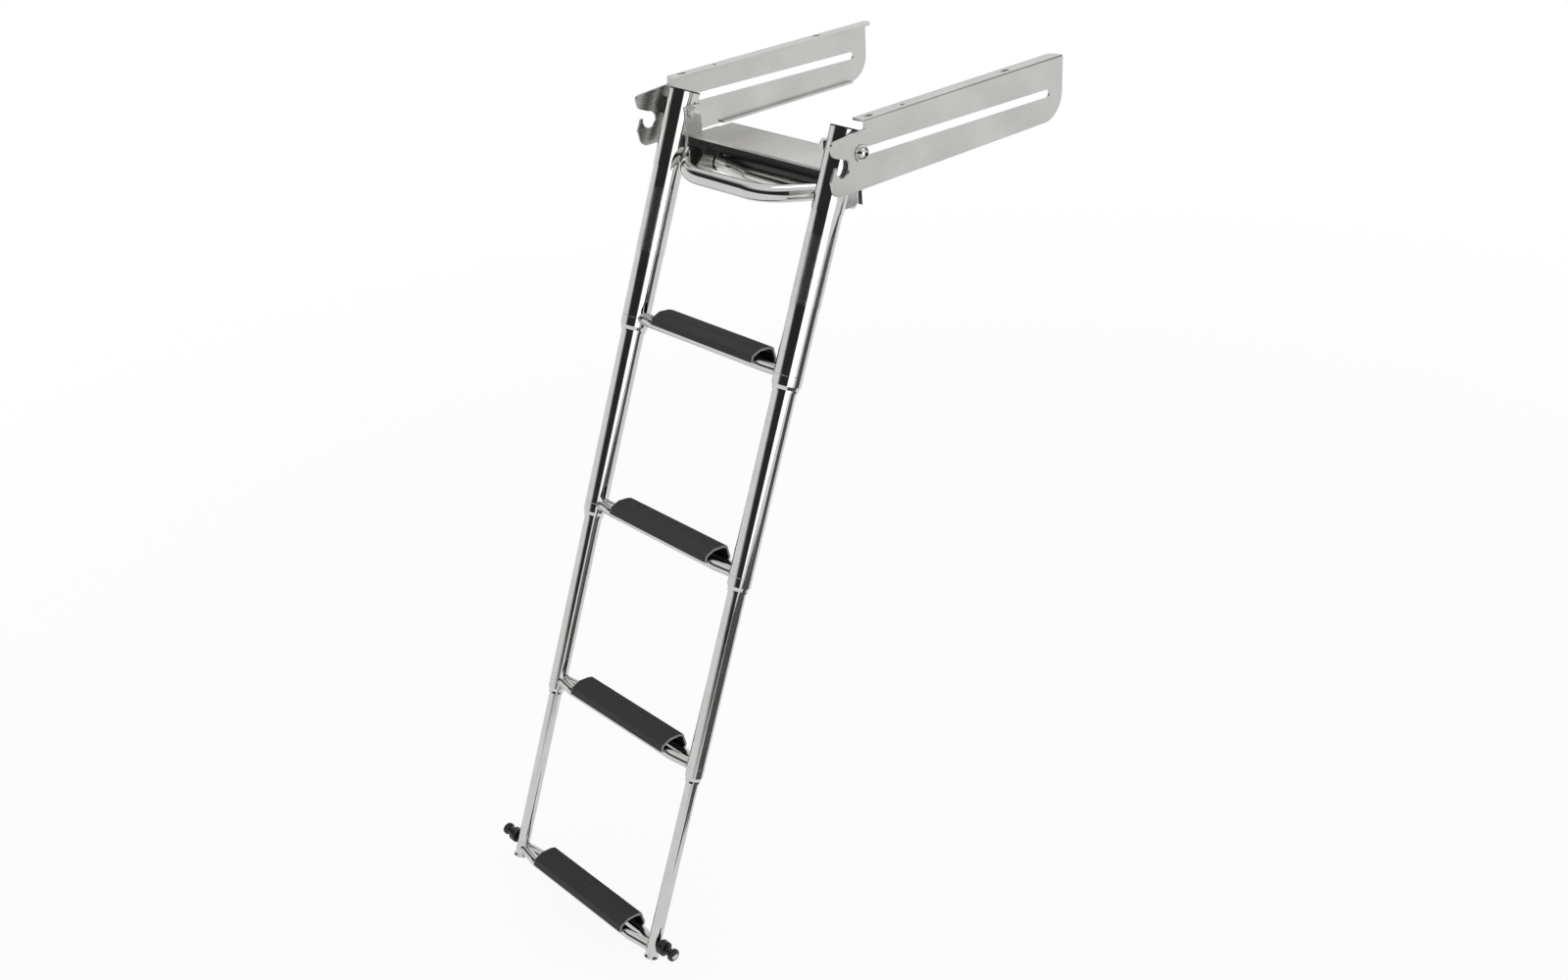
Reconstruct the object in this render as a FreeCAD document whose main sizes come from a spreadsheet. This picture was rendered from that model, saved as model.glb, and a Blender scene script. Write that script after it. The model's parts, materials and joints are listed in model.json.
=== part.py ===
"""Retractable boat ladder that stows under a swim platform.

Two C-shaped tracks hang under the platform. The ladder rides in their slots on two pivot
bolts. Its stiles telescope in four sizes of tube, and black knobs at the feet drop into the
notches at the outboard ends of the tracks when the folded ladder is pushed in.

Frame: X across, Y inboard along the tracks, Z up. The origin is on the top face of the right
track's flange, halfway along it. The ladder hangs in its working pose, leaning outboard.
Millimetres and degrees.
"""
import FreeCAD, Part
import math
import os
import Sketcher

SIZES = {
    # tracks, with lengths counted inboard from the outboard end of the top flange
    "track_length": 370,
    "track_height": 82,
    "track_wall": 3,
    "track_spacing": 360,
    "top_flange": 20,
    "bottom_flange": 9,
    "bottom_flange_start": 85,
    "fold_radius": 2.5,
    "heel_radius": 35,
    "flange_corner": 12,
    "nose_drop": 10.5,
    "nose_reach": 58,
    "nose_tip_drop": 15,
    "nose_underside": 32,
    "nose_slope": 4,
    "nose_radius": 7,
    "lobe_reach": 58,
    "lobe_top": 46,
    "lobe_tip_reach": 46,
    "lobe_tip_width": 5,
    "lobe_shoulder": 15,
    "lobe_slope": 4,
    "lobe_radius": 12,
    "notch_reach": 37.5,
    "notch_depth": 49.5,
    "notch_radius": 11,
    "slot_width": 11,
    "slot_end_margin": 31,
    "slot_fall": 1.1,
    # screw holes in the top flange
    "deck_slot_width": 6.5,
    "deck_slot_length": 13,
    "deck_slot_first": 17,
    "deck_slot_last_margin": 105,
    "deck_hole": 5,
    "deck_hole_place": 75,
    # pivot
    "pivot_reach": 7,
    "pivot_depth": 37.5,
    "bolt_shank": 10,
    "bolt_head": 15,
    "bolt_head_height": 7,
    "bolt_dome": 5.5,
    "bolt_washer": 21,
    "washer_thickness": 1.5,
    "spacer_diameter": 22,
    "nut_across_flats": 13,
    "nut_height": 7,
    "nut_washer": 17,
    "running_gap": 0.05,
    "seat_gap": 0.2,
    # ladder
    "lean": 22.6,
    "stile_inset": 32,
    "rung_first": 278,
    "rung_pitch": 262,
    "tube_wall": 1.5,
    "stile_a_diameter": 38,
    "stile_a_upper_diameter": 38.8,
    "stile_a_step": 191,
    "stile_b_diameter": 31,
    "stile_c_diameter": 24,
    "stile_d_diameter": 17.5,
    "stile_overlap": 36,
    "sleeve_diameter": 40.5,
    "sleeve_wall": 0.8,
    "sleeve_top": 23,
    "sleeve_bottom": 76,
    "cap_thickness": 2,
    "cap_spigot": 8,
    "collar_rise": 1,
    "collar_height": 21,
    "collar_spigot": 9,
    "collar_wall": 1.5,
    "collar_groove": 0.8,
    "collar_chin": 2,
    "collar_chin_height": 3,
    "collar_round_height": 8,
    "guide_height": 16,
    "guide_rise": 2,
    # rungs
    "rung_tube": 14,
    "rung_flat": 103,
    "rung_bend": 28,
    "rung_front": 7.5,
    "rung_rear": 16,
    "rung_meet": 4,
    "rung_meet_gap": 6,
    "tread_length": 196,
    "tread_height": 22,
    "tread_wall": 2.4,
    "tread_fit": 0.3,
    "tread_shoulder": 9,
    "tread_brow": 7,
    "tread_brow_drop": 4,
    "tread_crest": 8,
    "tread_crest_width": 8,
    "tread_back_height": 8,
    "tread_rib": 0.6,
    # feet
    "foot_reach": 13,
    "foot_cap_diameter": 21,
    "foot_cap_height": 5,
    "foot_cap_chamfer": 2,
    "knob_lift": 24,
    "knob_waist": 11,
    "knob_flange": 20,
    "knob_end": 17,
    "knob_edge": 1.2,
    "knob_neck_length": 3.6,
    "knob_inner_length": 11.5,
    "knob_waist_length": 10.5,
    "knob_outer_length": 6,
    "stud_diameter": 6,
    "stud_head": 9,
    "stud_head_height": 1.8,
    # bracket between the stiles, square to the tracks, with depths counted from the pivot
    "plate_top": 29.5,
    "plate_front": 5.5,
    "plate_back": 66,
    "plate_thickness": 3,
    "panel_place": 44,
    "panel_thickness": 3,
    "ear_front": 11,
    "ear_top": 8,
    "ear_shoulder": 14,
    "ear_bottom": 86,
    "ear_corner": 8,
    "ear_heel": 6,
    "ear_nose": 12,
    "ear_nose_drop": 6,
    "ear_nose_rise": 12,
    "hand_tube": 22,
    "hand_drop": 56,
    "hand_reach": 62,
    "hand_root": 3,
    "hand_corner": 82.5,
    "hand_bend": 68,
    "back_tube": 14,
    "back_drop": 73,
    "back_near": 25,
    "back_root": 40,
}
SECTIONS = "abcd"
SLOPE_RIBS = 5
CREST_RIBS = 3
RIB_STEPS = ((0.3, 0), (0.3, 1), (0.7, 1), (0.7, 0))
SIDES = {"right": 1, "left": -1}

doc = FreeCAD.newDocument("RetractableBoatLadder")
sheet = doc.addObject("Spreadsheet::Sheet", "Sizes")
for row, (alias, number) in enumerate(SIZES.items(), start=1):
    sheet.set("A%d" % row, alias.replace("_", " "))
    sheet.set("B%d" % row, str(number))
    sheet.setAlias("B%d" % row, alias)
doc.recompute()

CENTRE_X = "-(Sizes.track_spacing - Sizes.top_flange) / 2"
PIVOT_Y = "-(Sizes.track_length / 2 + Sizes.pivot_reach)"
PIVOT_Z = "-Sizes.pivot_depth"
HALF_TRACKS = "Sizes.track_spacing / 2"
HALF_STILES = "(Sizes.track_spacing / 2 - Sizes.stile_inset)"
SLOT_REACH = "(Sizes.track_length - Sizes.slot_end_margin)"


def value(expression):
    """Number that an expression on the sheet gives now."""
    found = sheet.evalExpression(expression)
    return float(getattr(found, "Value", found))


def signed(side, expression):
    """Expression for a distance from the middle, on one side of the ladder."""
    return "%d * (%s)" % (SIDES[side], expression)


# Places of the sub-parts

def place(thing, x, y, z, axis=(1, 0, 0), angle="0"):
    """Bind a sub-part's Placement to the sheet: a turn about one axis, then a move."""
    thing.setExpression(
        "Placement",
        "create(<<placement>>; create(<<vector>>; %s; %s; %s); "
        "create(<<rotation>>; create(<<vector>>; %g; %g; %g); %s))" % ((x, y, z) + axis + (angle,)))


def place_track(thing, side):
    """The track's own origin is the outboard end of its fold, on its outer face."""
    x = "Sizes.top_flange / 2" if side == "right" else "Sizes.top_flange / 2 - Sizes.track_spacing"
    place(thing, x, "-Sizes.track_length / 2", "0")


def place_level(thing, x="0"):
    """Square to the tracks, with its origin on the pivot axis, x from the middle."""
    place(thing, "%s + %s" % (CENTRE_X, x), PIVOT_Y, PIVOT_Z)


def place_leaning(thing, x="0"):
    """Along the stiles, with its origin on the pivot axis, x from the middle."""
    place(thing, "%s + %s" % (CENTRE_X, x), PIVOT_Y, PIVOT_Z, (1, 0, 0), "-Sizes.lean")


def place_across(thing, x, outward, y="0", z="0"):
    """A turned part whose own axis points along X, outward from the middle."""
    place(thing, "%s + %s" % (CENTRE_X, x), "%s + %s" % (PIVOT_Y, y), "%s + %s" % (PIVOT_Z, z),
          (0, 1, 0), "90" if outward > 0 else "-90")


# Bodies, sketches and features

def new_body(label):
    body = doc.addObject("PartDesign::Body", label)
    body.Label = label
    return body


def new_sketch(body, role, name, offset="0"):
    """Sketch on one of the body's own origin planes, moved along its normal."""
    sketch = body.newObject("Sketcher::SketchObject", body.Name + "_" + name)
    plane = next(feature for feature in body.Origin.OriginFeatures if feature.Role == role)
    sketch.AttachmentSupport = [(plane, "")]
    sketch.MapMode = "FlatFace"
    sketch.setExpression("AttachmentOffset.Base.z", offset)
    return sketch


def fix_point(sketch, geometry, end, across, up):
    """Hold one point of a sketch at two expressions from the origin."""
    for kind, axis, expression in (("DistanceX", -2, across), ("DistanceY", -1, up)):
        number = value(expression)
        if abs(number) < 1e-9:
            sketch.addConstraint(Sketcher.Constraint("PointOnObject", geometry, end, axis))
        else:
            index = sketch.addConstraint(Sketcher.Constraint(kind, -1, 1, geometry, end, number))
            sketch.setExpression("Constraints[%d]" % index, expression)


def draw_outline(sketch, corners):
    """Closed outline of straight lines through corners given as pairs of expressions."""
    points = [FreeCAD.Vector(value(across), value(up), 0) for across, up in corners]
    first = sketch.GeometryCount
    for index, point in enumerate(points):
        sketch.addGeometry(Part.LineSegment(point, points[(index + 1) % len(points)]))
    for index, (across, up) in enumerate(corners):
        following = first + (index + 1) % len(corners)
        sketch.addConstraint(Sketcher.Constraint("Coincident", first + index, 2, following, 1))
        fix_point(sketch, first + index, 1, across, up)


def draw_circle(sketch, across, up, diameter):
    middle = FreeCAD.Vector(value(across), value(up), 0)
    geometry = sketch.addGeometry(Part.Circle(middle, FreeCAD.Vector(0, 0, 1), value(diameter) / 2))
    fix_point(sketch, geometry, 3, across, up)
    index = sketch.addConstraint(Sketcher.Constraint("Diameter", geometry, value(diameter)))
    sketch.setExpression("Constraints[%d]" % index, diameter)


def draw_slot(sketch, start, end, width):
    """Round-ended slot between two centres, each a pair of expressions."""
    one = FreeCAD.Vector(value(start[0]), value(start[1]), 0)
    two = FreeCAD.Vector(value(end[0]), value(end[1]), 0)
    radius = value(width) / 2
    heading = math.atan2(two.y - one.y, two.x - one.x)
    left = FreeCAD.Vector(-math.sin(heading), math.cos(heading), 0) * radius
    up = FreeCAD.Vector(0, 0, 1)
    quarter = math.pi / 2
    first = sketch.GeometryCount
    first_circle, last_circle = Part.Circle(one, up, radius), Part.Circle(two, up, radius)
    sketch.addGeometry(Part.ArcOfCircle(first_circle, heading + quarter, heading + 3 * quarter))
    sketch.addGeometry(Part.LineSegment(one - left, two - left))
    sketch.addGeometry(Part.ArcOfCircle(last_circle, heading - quarter, heading + quarter))
    sketch.addGeometry(Part.LineSegment(two + left, one + left))
    for piece in range(4):
        following = first + (piece + 1) % 4
        sketch.addConstraint(Sketcher.Constraint("Tangent", first + piece, 2, following, 1))
    fix_point(sketch, first, 3, *start)
    fix_point(sketch, first + 2, 3, *end)
    index = sketch.addConstraint(Sketcher.Constraint("Radius", first, radius))
    sketch.setExpression("Constraints[%d]" % index, "(%s) / 2" % width)


def pad(body, sketch, length, backwards=False, middle=False):
    feature = body.newObject("PartDesign::Pad", sketch.Name + "_pad")
    feature.Profile = sketch
    feature.setExpression("Length", length)
    feature.Reversed = backwards
    if middle:
        feature.SideType = "Symmetric"
    doc.recompute()
    return feature


def pocket(body, sketch, depth):
    """Cut on both sides of the sketch, and make sure that something was cut."""
    before = body.Shape.Volume
    feature = body.newObject("PartDesign::Pocket", sketch.Name + "_pocket")
    feature.Profile = sketch
    feature.SideType = "Symmetric"
    feature.setExpression("Length", depth)
    doc.recompute()
    if not body.Shape.Volume < before - 1e-3:
        raise RuntimeError("%s cuts nothing" % feature.Name)
    return feature


def round_edges(body, name, radius, chosen):
    """Fillet the edges of the body for which chosen(edge) is true."""
    base = body.Tip
    names = ["Edge%d" % index for index, edge in enumerate(base.Shape.Edges, start=1) if chosen(edge)]
    feature = body.newObject("PartDesign::Fillet", body.Name + "_" + name)
    feature.Base = (base, names)
    feature.setExpression("Radius", radius)
    doc.recompute()
    return feature


def across_at(places):
    """Test for straight edges along X that pass through one of the (y, z) places."""
    spots = [(value(y), value(z)) for y, z in places]

    def test(edge):
        if edge.Curve.TypeId != "Part::GeomLine":
            return False
        if abs(abs(edge.tangentAt(edge.FirstParameter).x) - 1) > 1e-6:
            return False
        centre = edge.CenterOfMass
        return any(math.hypot(centre.y - y, centre.z - z) < 0.01 for y, z in spots)
    return test


def rim_at(radius, height):
    """Test for round edges of a turned body, of one radius and at one height along its axis."""
    def test(edge):
        if edge.Curve.TypeId != "Part::GeomCircle":
            return False
        same = abs(edge.Curve.Radius - value(radius)) < 1e-6
        return same and abs(edge.Curve.Center.z - value(height)) < 1e-6
    return test


def turned(label, outline):
    """Body of revolution about its own Z, from (radius, height) pairs of expressions."""
    body = new_body(label)
    sketch = new_sketch(body, "XZ_Plane", "profile")
    draw_outline(sketch, outline)
    feature = body.newObject("PartDesign::Revolution", label + "_turn")
    feature.Profile = sketch
    feature.ReferenceAxis = (sketch, ["V_Axis"])
    feature.Angle = 360
    doc.recompute()
    return body


def tube(label, diameter, wall, top, bottom):
    """Round tube along its own Z, with its ends at two drops below the pivot axis."""
    outside = "(%s) / 2" % diameter
    inside = "(%s) / 2 - %s" % (diameter, wall)
    return turned(label, [(inside, "-(%s)" % bottom), (outside, "-(%s)" % bottom),
                          (outside, "-(%s)" % top), (inside, "-(%s)" % top)])


def cross_bore(body, diameter):
    """Hole along X for the pivot bolt, through a part that stands on the pivot axis."""
    sketch = new_sketch(body, "YZ_Plane", "bore")
    draw_circle(sketch, "0", "0", diameter)
    pocket(body, sketch, "Sizes.sleeve_diameter * 2")


def pair(label, pieces):
    """Two like pieces that share one node."""
    node = doc.addObject("Part::Compound", label)
    node.Label = label
    node.Links = pieces
    doc.recompute()
    return node


# Tracks

def track(side):
    """Folded sheet: web with nose, notch, lobe and slot, and flanges turned to the middle."""
    inward = side == "right"
    sign = "-1" if inward else "1"
    body = new_body("track_" + side)

    web = new_sketch(body, "YZ_Plane", "web")
    corners = [
        ("0", "0"),
        ("0", "-Sizes.nose_drop"),
        ("-Sizes.nose_reach", "-Sizes.nose_tip_drop"),
        ("-Sizes.nose_reach + Sizes.nose_slope", "-Sizes.nose_underside"),
        ("-Sizes.notch_reach", "-Sizes.notch_depth + Sizes.notch_radius"),
        ("-Sizes.notch_reach", "-Sizes.notch_depth"),
        ("-Sizes.lobe_tip_reach", "-Sizes.lobe_top"),
        ("-Sizes.lobe_tip_reach - Sizes.lobe_tip_width", "-Sizes.lobe_top"),
        ("-Sizes.lobe_reach", "-Sizes.lobe_top - Sizes.lobe_shoulder"),
        ("-Sizes.lobe_reach + Sizes.lobe_slope", "-Sizes.track_height"),
        ("Sizes.track_length", "-Sizes.track_height"),
        ("Sizes.track_length", "0"),
    ]
    draw_outline(web, corners)
    pad(body, web, "Sizes.track_wall", backwards=inward)

    top = new_sketch(body, "XY_Plane", "top_flange")
    edge = "%s * Sizes.top_flange" % sign
    draw_outline(top, [("0", "0"), (edge, "0"), (edge, "Sizes.track_length"), ("0", "Sizes.track_length")])
    pad(body, top, "Sizes.track_wall", backwards=True)

    bottom = new_sketch(body, "XY_Plane", "bottom_flange", "-Sizes.track_height")
    edge = "%s * Sizes.bottom_flange" % sign
    finish = "Sizes.track_length - Sizes.heel_radius"
    draw_outline(bottom, [("0", "Sizes.bottom_flange_start"), (edge, "Sizes.bottom_flange_start"),
                          (edge, finish), ("0", finish)])
    pad(body, bottom, "Sizes.track_wall")

    notch = new_sketch(body, "YZ_Plane", "notch")
    draw_circle(notch, "-Sizes.notch_reach", "-Sizes.notch_depth", "2 * Sizes.notch_radius")
    pocket(body, notch, "3 * Sizes.track_wall")

    slot = new_sketch(body, "YZ_Plane", "slot")
    fall = "(%s + Sizes.pivot_reach) * tan(Sizes.slot_fall)" % SLOT_REACH
    draw_slot(slot, ("-Sizes.pivot_reach", "-Sizes.pivot_depth"),
              (SLOT_REACH, "-Sizes.pivot_depth - %s" % fall), "Sizes.slot_width")
    pocket(body, slot, "3 * Sizes.track_wall")

    holes = new_sketch(body, "XY_Plane", "holes")
    middle = "%s * Sizes.top_flange / 2" % sign
    reach = "(Sizes.deck_slot_length - Sizes.deck_slot_width) / 2"
    for spot in ("Sizes.deck_slot_first", "Sizes.track_length - Sizes.deck_slot_last_margin"):
        draw_slot(holes, (middle, "%s - %s" % (spot, reach)), (middle, "%s + %s" % (spot, reach)),
                  "Sizes.deck_slot_width")
    draw_circle(holes, middle, "Sizes.deck_hole_place", "Sizes.deck_hole")
    pocket(body, holes, "3 * Sizes.track_wall")

    round_edges(body, "heel", "Sizes.heel_radius", across_at([("Sizes.track_length", "-Sizes.track_height")]))
    round_edges(body, "nose", "Sizes.nose_radius",
                across_at([("-Sizes.nose_reach", "-Sizes.nose_tip_drop"),
                           ("-Sizes.nose_reach + Sizes.nose_slope", "-Sizes.nose_underside")]))
    round_edges(body, "lobe", "Sizes.lobe_radius",
                across_at([("-Sizes.lobe_reach + Sizes.lobe_slope", "-Sizes.track_height")]))

    def flange_corner(edge):
        centre = edge.CenterOfMass
        upright = abs(centre.z + value("Sizes.track_wall / 2")) < 1e-6
        inner = abs(abs(centre.x) - value("Sizes.top_flange")) < 1e-6
        return upright and inner and abs(centre.y - value("Sizes.track_length")) < 1e-6
    round_edges(body, "corner", "Sizes.flange_corner", flange_corner)

    def fold(edge):
        centre = edge.CenterOfMass
        straight = edge.Curve.TypeId == "Part::GeomLine"
        along = straight and abs(abs(edge.tangentAt(edge.FirstParameter).y) - 1) < 1e-6
        return along and abs(centre.x) < 1e-6 and abs(centre.z) < 1e-6
    round_edges(body, "fold", "Sizes.fold_radius", fold)
    place_track(body, side)
    return body


# Pivot

def pivot_bolt(side):
    """Domed head and washer outside the web, and a shank that reaches the nut."""
    outer = "Sizes.washer_thickness"
    reach = "(%s)" % " + ".join([
        HALF_TRACKS, "Sizes.seat_gap", "-(%s)" % HALF_STILES, "Sizes.sleeve_diameter / 2",
        "2 * Sizes.seat_gap", "Sizes.plate_thickness", "Sizes.washer_thickness", "Sizes.nut_height"])
    top = "%s + Sizes.bolt_head_height" % outer
    bolt = turned("pivot_bolt_" + side, [
        ("0", "-%s" % reach), ("Sizes.bolt_shank / 2", "-%s" % reach), ("Sizes.bolt_shank / 2", "0"),
        ("Sizes.bolt_washer / 2", "0"), ("Sizes.bolt_washer / 2", outer), ("Sizes.bolt_head / 2", outer),
        ("Sizes.bolt_head / 2", top), ("0", top)])
    round_edges(bolt, "dome", "Sizes.bolt_dome", rim_at("Sizes.bolt_head / 2", top))
    place_across(bolt, signed(side, "%s + Sizes.seat_gap" % HALF_TRACKS), SIDES[side])
    return bolt


def web_spacer(side):
    """Plastic ring that keeps the sleeve off the web."""
    inner = "%s + Sizes.sleeve_diameter / 2 + Sizes.seat_gap" % HALF_STILES
    length = "(%s - Sizes.track_wall - Sizes.seat_gap - (%s))" % (HALF_TRACKS, inner)
    bore = "Sizes.bolt_shank / 2 + Sizes.running_gap"
    ring = turned("web_spacer_" + side, [(bore, "0"), ("Sizes.spacer_diameter / 2", "0"),
                                         ("Sizes.spacer_diameter / 2", length), (bore, length)])
    place_across(ring, signed(side, inner), SIDES[side])
    return ring


def pivot_nut(side):
    """Washer and hexagon nut on the inner face of the bracket ear."""
    face = "(%s - Sizes.sleeve_diameter / 2 - 2 * Sizes.seat_gap - Sizes.plate_thickness)" % HALF_STILES
    bore = "Sizes.bolt_shank + 2 * Sizes.running_gap"
    body = new_body("pivot_nut_" + side)
    ring = new_sketch(body, "XY_Plane", "washer")
    draw_circle(ring, "0", "0", "Sizes.nut_washer")
    draw_circle(ring, "0", "0", bore)
    pad(body, ring, "Sizes.washer_thickness")
    hexagon = new_sketch(body, "XY_Plane", "hexagon", "Sizes.washer_thickness")
    flats = "Sizes.nut_across_flats / 2"
    corners = []
    for index in range(6):
        corners.append(("%s * cos(%d deg) / cos(30 deg)" % (flats, 60 * index),
                        "%s * sin(%d deg) / cos(30 deg)" % (flats, 60 * index)))
    draw_outline(hexagon, corners)
    draw_circle(hexagon, "0", "0", bore)
    pad(body, hexagon, "Sizes.nut_height")
    place_across(body, signed(side, face), -SIDES[side])
    return body


# Stiles

def rung_drop(index):
    return "(Sizes.rung_first + %d * Sizes.rung_pitch)" % index


def rim_drop(index):
    return "(%s - Sizes.collar_rise)" % rung_drop(index)


FOOT_BOTTOM = "(%s + Sizes.foot_reach)" % rung_drop(3)
TUBE_END = "(%s - Sizes.foot_cap_height)" % FOOT_BOTTOM
KNOB_DROP = "(%s - Sizes.knob_lift)" % FOOT_BOTTOM


def stile_tube(section, side):
    """Tube of one size. The uppermost one is a little thicker down to a step."""
    index = SECTIONS.index(section)
    diameter = "Sizes.stile_%s_diameter" % section
    top = "-Sizes.sleeve_top" if index == 0 else "(%s - Sizes.stile_overlap)" % rim_drop(index - 1)
    bottom = rim_drop(index) if section != "d" else TUBE_END
    label = "stile_%s_%s" % (section, side)
    if section == "a":
        bore, outside = "%s / 2 - Sizes.tube_wall" % diameter, "%s / 2" % diameter
        upper, step = "Sizes.stile_a_upper_diameter / 2", "-Sizes.stile_a_step"
        body = turned(label, [(bore, "-" + bottom), (outside, "-" + bottom), (outside, step), (upper, step),
                              (upper, "-(%s)" % top), (bore, "-(%s)" % top)])
        cross_bore(body, "Sizes.bolt_shank + 2 * Sizes.running_gap")
    else:
        body = tube(label, diameter, "Sizes.tube_wall", top, bottom)
    place_leaning(body, signed(side, HALF_STILES))
    return body


def sleeve(side):
    body = tube("sleeve_" + side, "Sizes.sleeve_diameter", "Sizes.sleeve_wall", "-Sizes.sleeve_top",
                "Sizes.sleeve_bottom")
    cross_bore(body, "Sizes.bolt_shank + 2 * Sizes.running_gap")
    place_leaning(body, signed(side, HALF_STILES))
    return body


def stile_cap(side):
    """Black plug in the top of the stile, with a flat rim over the sleeve."""
    spigot = "Sizes.stile_a_diameter / 2 - Sizes.tube_wall - Sizes.running_gap"
    cap = turned("stile_cap_" + side, [
        ("0", "Sizes.sleeve_top - Sizes.cap_spigot"), (spigot, "Sizes.sleeve_top - Sizes.cap_spigot"),
        (spigot, "Sizes.sleeve_top"), ("Sizes.sleeve_diameter / 2", "Sizes.sleeve_top"),
        ("Sizes.sleeve_diameter / 2", "Sizes.sleeve_top + Sizes.cap_thickness"),
        ("0", "Sizes.sleeve_top + Sizes.cap_thickness")])
    place_leaning(cap, signed(side, HALF_STILES))
    return cap


def collar_outline(section, clearance="0"):
    """Outer radius and height of a collar, from its rounded chin to the groove under its rim."""
    index = SECTIONS.index(section)
    rim = "-%s" % rim_drop(index)
    low = "%s - Sizes.collar_height" % rim
    wide = "Sizes.stile_%s_diameter / 2 + %s" % (section, clearance)
    narrow = "Sizes.stile_%s_diameter / 2 + Sizes.collar_wall + %s" % (SECTIONS[index + 1], clearance)
    return [(narrow, low), ("%s - Sizes.collar_chin" % wide, "%s + Sizes.collar_chin_height" % low),
            (wide, "%s + Sizes.collar_round_height" % low), (wide, "%s - Sizes.collar_groove" % rim),
            ("%s - Sizes.collar_groove" % wide, rim)]


def collar(section, side):
    """Bush that closes the bottom of a tube and guides the next one."""
    index = SECTIONS.index(section)
    bore = "Sizes.stile_%s_diameter / 2 + Sizes.running_gap" % SECTIONS[index + 1]
    spigot = "Sizes.stile_%s_diameter / 2 - Sizes.tube_wall - Sizes.running_gap" % section
    outline = collar_outline(section)
    rim = outline[-1][1]
    top = "%s + Sizes.collar_spigot" % rim
    body = turned("collar_%s_%s" % (section, side),
                  [(bore, outline[0][1])] + outline + [(spigot, rim), (spigot, top), (bore, top)])
    place_leaning(body, signed(side, HALF_STILES))
    return body


def guide(section, side):
    """Bush round the top of a tube, running in the bore of the tube above."""
    index = SECTIONS.index(section)
    above = "Sizes.stile_%s_diameter / 2 - Sizes.tube_wall - Sizes.running_gap" % SECTIONS[index - 1]
    bore = "Sizes.stile_%s_diameter / 2" % section
    top = "-(%s - Sizes.stile_overlap) - Sizes.guide_rise" % rim_drop(index - 1)
    low = "%s - Sizes.guide_height" % top
    body = turned("guide_%s_%s" % (section, side), [(bore, low), (above, low), (above, top), (bore, top)])
    place_leaning(body, signed(side, HALF_STILES))
    return body


# Rungs

def bowed_path(half_width, root, flat_half, bow, bend, drop):
    """Wire from side to side: leg, bend, straight middle, bend, leg, in one level plane."""
    way = 1 if bow > root else -1
    centre = FreeCAD.Vector(flat_half, bow - way * bend, 0)
    root_point = FreeCAD.Vector(half_width, root, 0)
    reach = root_point - centre
    heading = math.atan2(reach.y, reach.x)
    spread = math.acos(bend / reach.Length)
    touch_angle = heading + way * spread
    start_angle = way * math.pi / 2
    middle_angle = (touch_angle + start_angle) / 2

    def on_bend(angle):
        return centre + FreeCAD.Vector(math.cos(angle), math.sin(angle), 0) * bend

    right = [root_point, on_bend(touch_angle), on_bend(middle_angle), on_bend(start_angle)]
    right = [FreeCAD.Vector(point.x, point.y, -drop) for point in right]
    left = [FreeCAD.Vector(-point.x, point.y, point.z) for point in right]
    edges = [Part.LineSegment(left[0], left[1]), Part.Arc(left[1], left[2], left[3]),
             Part.LineSegment(left[3], right[3]), Part.Arc(right[3], right[2], right[1]),
             Part.LineSegment(right[1], right[0])]
    return Part.Wire([edge.toShape() for edge in edges])


def bar_along(path, diameter):
    """Round bar whose centre line is the path."""
    start = path.Edges[0]
    root, heading = start.valueAt(start.FirstParameter), start.tangentAt(start.FirstParameter)
    circle = Part.Circle(root, heading, diameter / 2)
    return path.makePipeShell([Part.Wire([circle.toShape()])], True, False)


def stile_envelope(section):
    """Solid that both stiles fill at a rung, a seat gap larger than they are."""
    index = SECTIONS.index(section)
    gap = "Sizes.seat_gap"
    if section == "d":
        radius = value("Sizes.stile_d_diameter / 2 + %s" % gap)
        drop = value(TUBE_END)
        one = Part.makeCylinder(radius, value("2 * Sizes.collar_height"), FreeCAD.Vector(0, 0, -drop))
    else:
        outline = collar_outline(section, gap)
        points = [FreeCAD.Vector(value(radius), 0, value(height)) for radius, height in outline[:-1]]
        points[0:0] = [FreeCAD.Vector(0, 0, points[0].z)]
        high = points[-1].z + value("Sizes.collar_height")
        points += [FreeCAD.Vector(points[-1].x, 0, high), FreeCAD.Vector(0, 0, high)]
        face = Part.Face(Part.makePolygon(points + points[:1]))
        one = face.revolve(FreeCAD.Vector(0, 0, 0), FreeCAD.Vector(0, 0, 1), 360)
    both = []
    for sign in SIDES.values():
        copy = one.copy()
        copy.translate(FreeCAD.Vector(sign * value(HALF_STILES), 0, 0))
        both.append(copy)
    return both[0].fuse(both[1])


def rung_path(section, which):
    """Centre line of a rung bar. The two bars close in on each other before they reach the stiles."""
    way = -1 if which == "front" else 1
    root = value("Sizes.rung_meet") + way * value("Sizes.rung_meet_gap") / 2
    return bowed_path(value(HALF_STILES), root, value("Sizes.rung_flat"), way * value("Sizes.rung_" + which),
                      value("Sizes.rung_bend"), value(rung_drop(SECTIONS.index(section))))


def rung_bar(section, which):
    """One of a rung's two bars, coped to the stiles, and the rear one to the front one too."""
    bar = bar_along(rung_path(section, which), value("Sizes.rung_tube")).cut(stile_envelope(section))
    if which == "rear":
        room = value("Sizes.rung_tube + 2 * Sizes.seat_gap")
        bar = bar.cut(bar_along(rung_path(section, "front"), room))
    longest = max(bar.Solids, key=lambda solid: solid.Volume)
    node = doc.addObject("Part::Feature", "rung_%s_%s" % (section, which))
    node.Label = node.Name
    node.Shape = longest
    place_leaning(node)
    return node


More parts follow.
